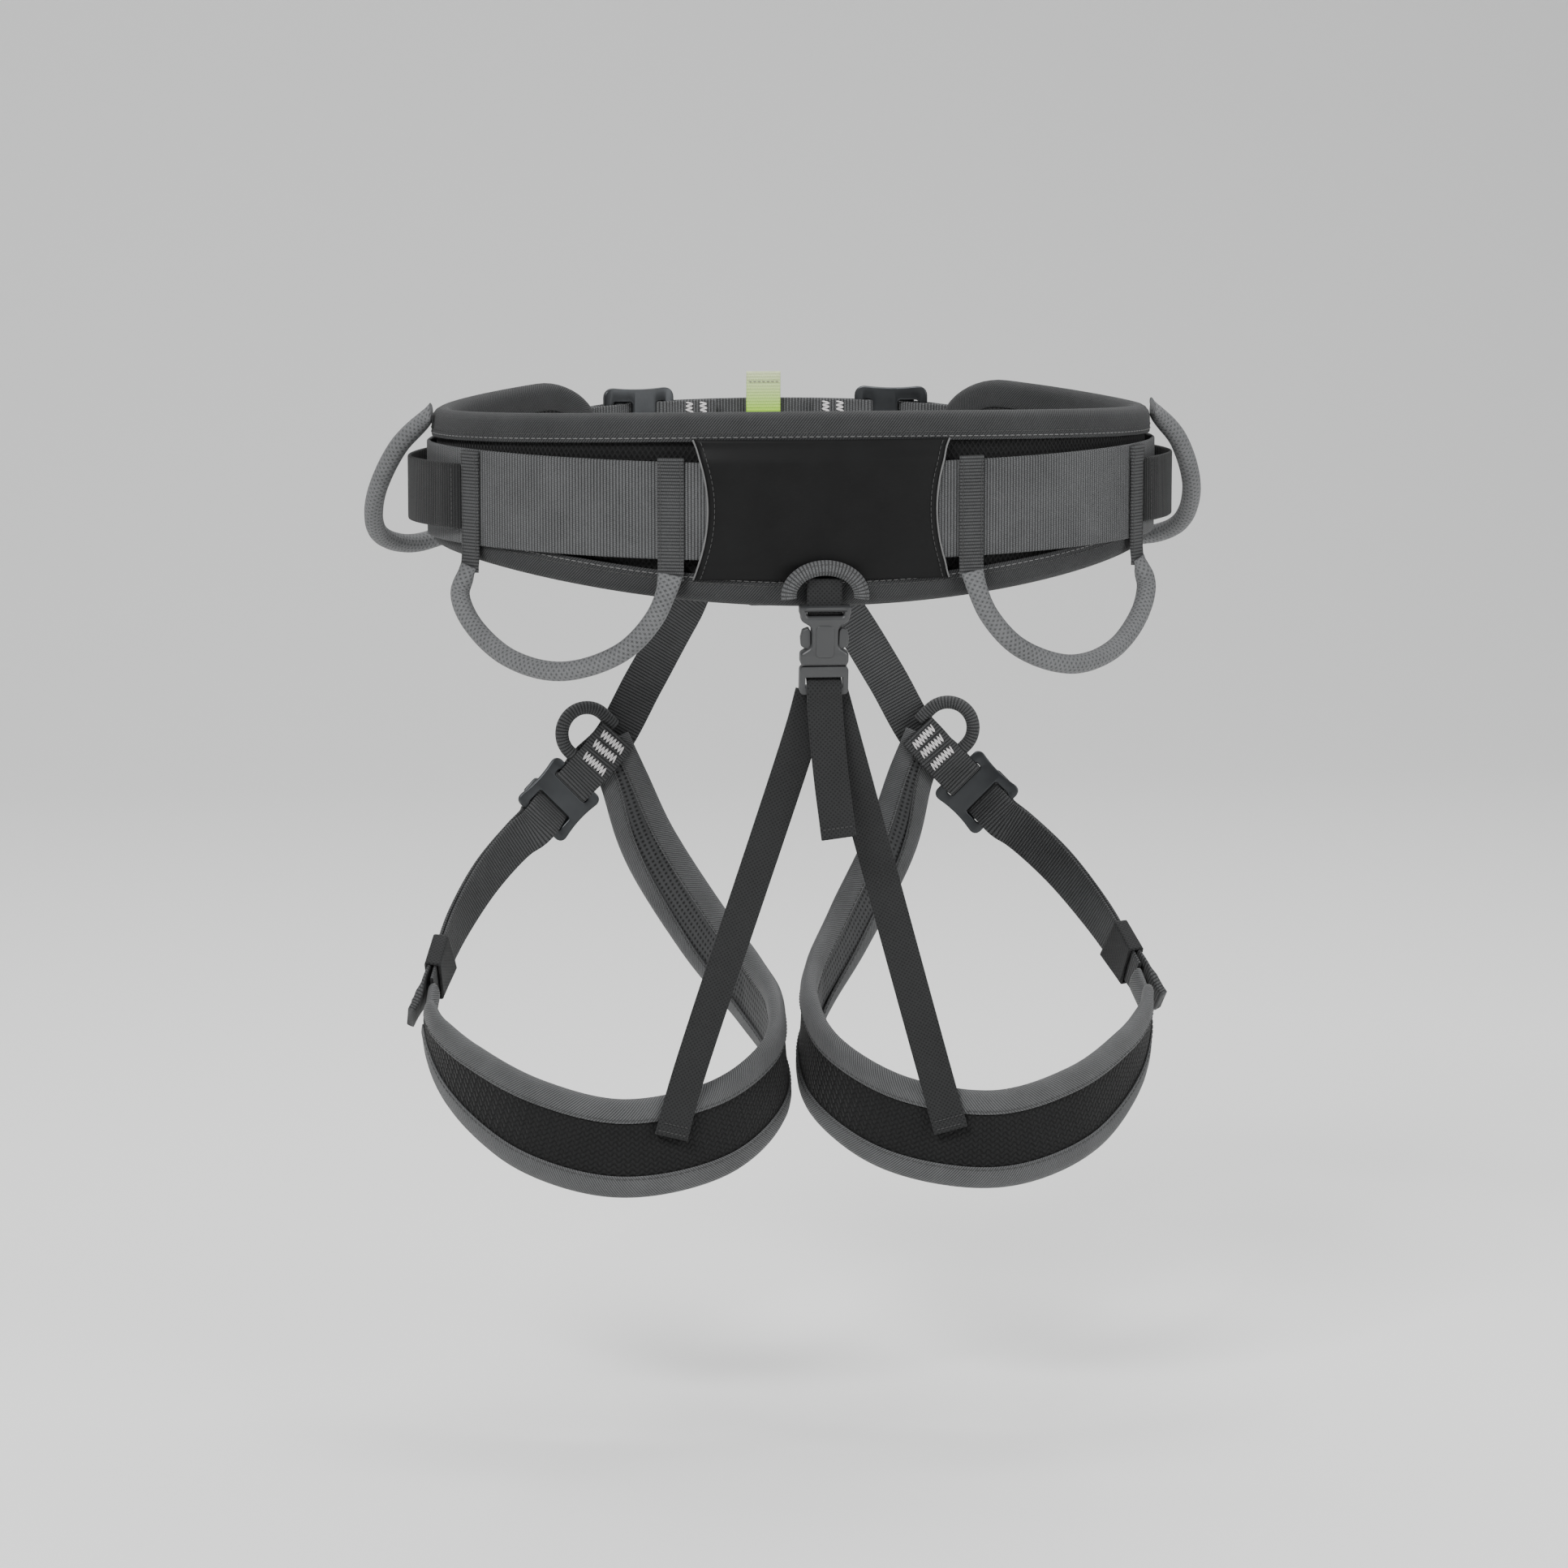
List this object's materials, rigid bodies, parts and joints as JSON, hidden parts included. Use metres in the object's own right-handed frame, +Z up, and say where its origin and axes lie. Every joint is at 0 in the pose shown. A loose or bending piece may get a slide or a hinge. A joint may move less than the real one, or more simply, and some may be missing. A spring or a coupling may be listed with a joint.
{
  "type": "tree climbing saddle",
  "caption": "Light textile sit harness: padded waist belt with two front buckles, gear loops, tool slots and a ventral loop, and two adjustable leg loops on elastic rear straps.",
  "frame": {"origin": "centre of the waist opening, about level with the middle of the waist webbing", "axes": "+Z up, +Y the way the wearer faces, +X to the wearer's right"},
  "size_m": [0.4002, 0.2551, 0.3725],
  "materials": {
    "spacer_mesh": "open black spacer mesh",
    "foam": "foam core",
    "lining": "brushed lining with dotted rows",
    "binding_tape": "twill tape, stitched",
    "webbing": "ribbed woven webbing",
    "patch": "matt black coated cloth",
    "dark_webbing": "dark ribbed webbing",
    "elastic": "black woven elastic",
    "braid": "round braid over a core",
    "buckle_plastic": "moulded, satin",
    "buckle_metal": "anodised, dark",
    "tab": "lime-green woven tape"
  },
  "bodies": {
    "waist": {"belt_mesh": "spacer_mesh", "belt_foam": "foam", "belt_lining": "lining", "belt_binding": "binding_tape", "waist_webbing": "webbing", "front_bridge": "webbing", "rear_patch": "patch", "haul_loop": "webbing", "centre_tab": "tab", "tie_in_loop": "webbing", "buckle_hanger": "elastic", "buckle_socket": "buckle_plastic", "waist_buckle_frame_left": "buckle_metal", "waist_buckle_frame_right": "buckle_metal", "waist_keeper_left": "dark_webbing", "waist_keeper_right": "dark_webbing", "gear_tape_inner_left": "binding_tape", "gear_tape_inner_right": "binding_tape", "gear_tape_outer_left": "binding_tape", "gear_tape_outer_right": "binding_tape", "tool_slot_left": "dark_webbing", "tool_slot_right": "dark_webbing"},
    "gear_loop_rear_left": {"gear_loop_rear_left": "braid"},
    "gear_loop_side_left": {"gear_loop_side_left": "braid"},
    "waist_slider_left": {"waist_buckle_slider_left": "buckle_metal"},
    "gear_loop_rear_right": {"gear_loop_rear_right": "braid"},
    "gear_loop_side_right": {"gear_loop_side_right": "braid"},
    "waist_slider_right": {"waist_buckle_slider_right": "buckle_metal"},
    "ventral_loop": {"ventral_loop": "webbing"},
    "seat": {"buckle_plug": "buckle_plastic", "elastic_tail": "elastic", "leg_bridge": "webbing"},
    "prong_left": {"plug_prong_left": "buckle_plastic"},
    "leg_left": {"leg_mesh_left": "spacer_mesh", "leg_padding_left": "lining", "leg_binding_top_left": "binding_tape", "leg_binding_bottom_left": "binding_tape", "leg_riser_left": "webbing", "leg_strap_left": "webbing", "leg_keeper_left": "dark_webbing", "leg_neck_left": "binding_tape", "leg_ring_left": "braid", "leg_buckle_frame_left": "buckle_metal", "elastic_strap_left": "elastic"},
    "leg_slider_left": {"leg_buckle_slider_left": "buckle_metal"},
    "prong_right": {"plug_prong_right": "buckle_plastic"},
    "leg_right": {"leg_mesh_right": "spacer_mesh", "leg_padding_right": "lining", "leg_binding_top_right": "binding_tape", "leg_binding_bottom_right": "binding_tape", "leg_riser_right": "webbing", "leg_strap_right": "webbing", "leg_keeper_right": "dark_webbing", "leg_neck_right": "binding_tape", "leg_ring_right": "braid", "leg_buckle_frame_right": "buckle_metal", "elastic_strap_right": "elastic"},
    "leg_slider_right": {"leg_buckle_slider_right": "buckle_metal"}
  },
  "joints": [
    {"name": "rear_gear_loop_right_swing", "type": "hinge", "parent": "waist", "child": "gear_loop_rear_right", "pos_m": [0.11333, -0.08051, -0.047], "axis": [-0.8419, -0.5396, 0], "range_deg": [0, 70]},
    {"name": "side_gear_loop_right_swing", "type": "hinge", "parent": "waist", "child": "gear_loop_side_right", "pos_m": [0.15606, 0.0356, -0.0025], "axis": [0.3734, -0.8177, 0.438], "range_deg": [0, 60]},
    {"name": "waist_slider_right_tilt", "type": "hinge", "parent": "waist", "child": "waist_slider_right", "pos_m": [0.06462, 0.11498, -0.00245], "axis": [0, 0, 1], "range_deg": [0, 10], "stiffness_Nm_per_rad": 0.05, "springref_deg": -11.46},
    {"name": "rear_gear_loop_left_swing", "type": "hinge", "parent": "waist", "child": "gear_loop_rear_left", "pos_m": [-0.11333, -0.08051, -0.047], "axis": [-0.8419, 0.5396, 0], "range_deg": [0, 70]},
    {"name": "side_gear_loop_left_swing", "type": "hinge", "parent": "waist", "child": "gear_loop_side_left", "pos_m": [-0.15606, 0.0356, -0.0025], "axis": [0.3734, 0.8177, -0.438], "range_deg": [0, 60]},
    {"name": "waist_slider_left_tilt", "type": "hinge", "parent": "waist", "child": "waist_slider_left", "pos_m": [-0.06462, 0.11498, -0.00245], "axis": [0, 0, -1], "range_deg": [0, 10], "stiffness_Nm_per_rad": 0.05, "springref_deg": -11.46},
    {"name": "ventral_loop_swing", "type": "hinge", "parent": "waist", "child": "ventral_loop", "pos_m": [0, 0.11697, -0.051], "axis": [1, 0, 0], "range_deg": [-20, 20]},
    {"name": "seat_drop", "type": "hinge", "parent": "waist", "child": "seat", "pos_m": [0, 0.11697, -0.051], "axis": [1, 0, 0], "range_deg": [0, 30]},
    {"name": "leg_right_swing", "type": "hinge", "parent": "seat", "child": "leg_right", "pos_m": [0, 0.11697, -0.051], "axis": [1, 0, 0], "range_deg": [0, 30], "stiffness_Nm_per_rad": 0.25, "springref_deg": -34.38},
    {"name": "leg_slider_right_tilt", "type": "hinge", "parent": "leg_right", "child": "leg_slider_right", "pos_m": [0.10545, 0.09889, -0.17447], "axis": [0.6892, -0.1345, 0.712], "range_deg": [0, 10], "stiffness_Nm_per_rad": 0.05, "springref_deg": -11.46},
    {"name": "leg_left_swing", "type": "hinge", "parent": "seat", "child": "leg_left", "pos_m": [0, 0.11697, -0.051], "axis": [1, 0, 0], "range_deg": [0, 30], "stiffness_Nm_per_rad": 0.25, "springref_deg": -34.38},
    {"name": "leg_slider_left_tilt", "type": "hinge", "parent": "leg_left", "child": "leg_slider_left", "pos_m": [-0.10545, 0.09889, -0.17447], "axis": [0.6892, 0.1345, -0.712], "range_deg": [0, 10], "stiffness_Nm_per_rad": 0.05, "springref_deg": -11.46},
    {"name": "prong_right_squeeze", "type": "hinge", "parent": "seat", "child": "prong_right", "pos_m": [0.0069, -0.11458, -0.08373], "axis": [0, -0.9897, -0.143], "range_deg": [0, 6], "stiffness_Nm_per_rad": 0.2, "springref_deg": -5.73},
    {"name": "prong_left_squeeze", "type": "hinge", "parent": "seat", "child": "prong_left", "pos_m": [-0.0069, -0.11458, -0.08373], "axis": [0, -0.9897, -0.143], "range_deg": [-6, 0], "stiffness_Nm_per_rad": 0.2, "springref_deg": 5.73}
  ],
  "couplings": [
    {"joint": "prong_left_squeeze", "follows": "prong_right_squeeze", "ratio": -1}
  ]
}
